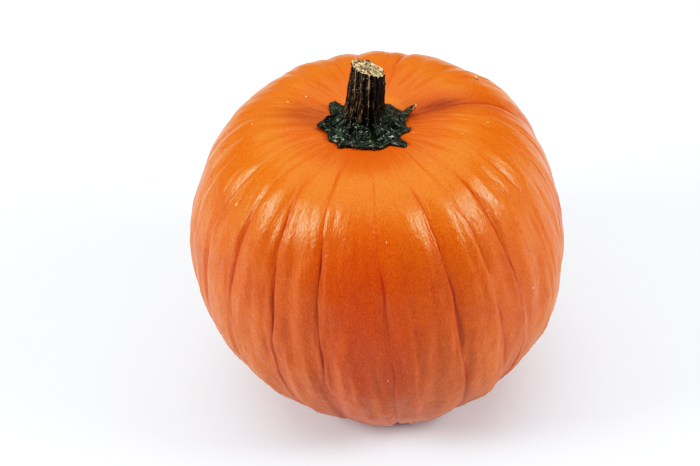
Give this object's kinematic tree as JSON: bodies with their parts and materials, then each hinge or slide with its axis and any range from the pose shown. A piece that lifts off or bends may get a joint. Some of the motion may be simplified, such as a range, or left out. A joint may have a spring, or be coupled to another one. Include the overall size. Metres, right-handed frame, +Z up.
{
  "type": "pumpkin",
  "caption": "Whole ribbed orange pumpkin with its cut woody stem and star-shaped stem foot, standing on a small flat spot.",
  "frame": {"origin": "middle of the footprint's bounding box, on the surface that the pumpkin stands on", "axes": "+Z up from the blossom end to the stem, -Y towards the front, +X to the right as seen from the front"},
  "size_m": [0.252, 0.2426, 0.2646],
  "materials": {
    "rind": null,
    "stem": "dark ridged plant stem with a glossy dark green foot and a pale fibrous cut face"
  },
  "bodies": {
    "root": {"fruit": "rind", "stem": "stem"}
  },
  "joints": []
}
